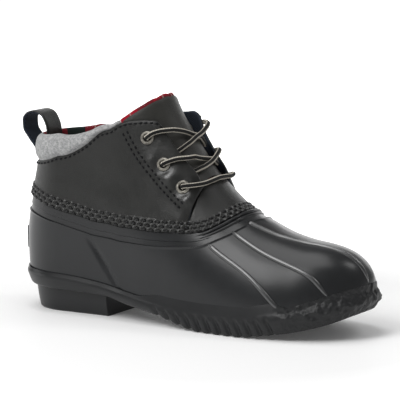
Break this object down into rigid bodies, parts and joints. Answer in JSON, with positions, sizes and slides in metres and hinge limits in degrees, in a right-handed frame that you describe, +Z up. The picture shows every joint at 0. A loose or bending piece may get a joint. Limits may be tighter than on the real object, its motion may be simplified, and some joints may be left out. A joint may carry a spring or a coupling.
{
  "type": "duck boot",
  "caption": "Right ankle-high duck boot with a rubber bottom, leather upper, felt collar, low heel block, rear pull loop and laces across a wide tongue.",
  "frame": {"origin": "on the ground under the middle of the heel block", "axes": "+X towards the toe, +Y towards the inner side of the foot, +Z up"},
  "size_m": [0.2869, 0.102, 0.1604],
  "materials": {
    "outsole_rubber": "matt black rubber",
    "black_rubber": "satin black rubber",
    "black_leather": "satin black leather",
    "tongue_leather": "satin black leather",
    "insole_cloth": "woven plaid cloth",
    "grey_felt": "heathered felt",
    "badge_rubber": "matt moulded rubber",
    "loop_webbing": "woven webbing with leather face",
    "eyelet_metal": "dark pewter",
    "lace_cord": "woven round lace, black with pale flecks"
  },
  "bodies": {
    "root": {"collar": "grey_felt", "eyelet_lateral_1": "eyelet_metal", "eyelet_lateral_2": "eyelet_metal", "eyelet_lateral_3": "eyelet_metal", "eyelet_medial_1": "eyelet_metal", "eyelet_medial_2": "eyelet_metal", "eyelet_medial_3": "eyelet_metal", "heel": "outsole_rubber", "heel_badge": "badge_rubber", "insole": "insole_cloth", "lace_bar": "lace_cord", "lace_cross_lower": "lace_cord", "lace_cross_upper": "lace_cord", "pull_loop": "loop_webbing", "rubber_shell": "black_rubber", "sole": "outsole_rubber", "tongue": "tongue_leather", "upper": "black_leather"}
  },
  "joints": []
}
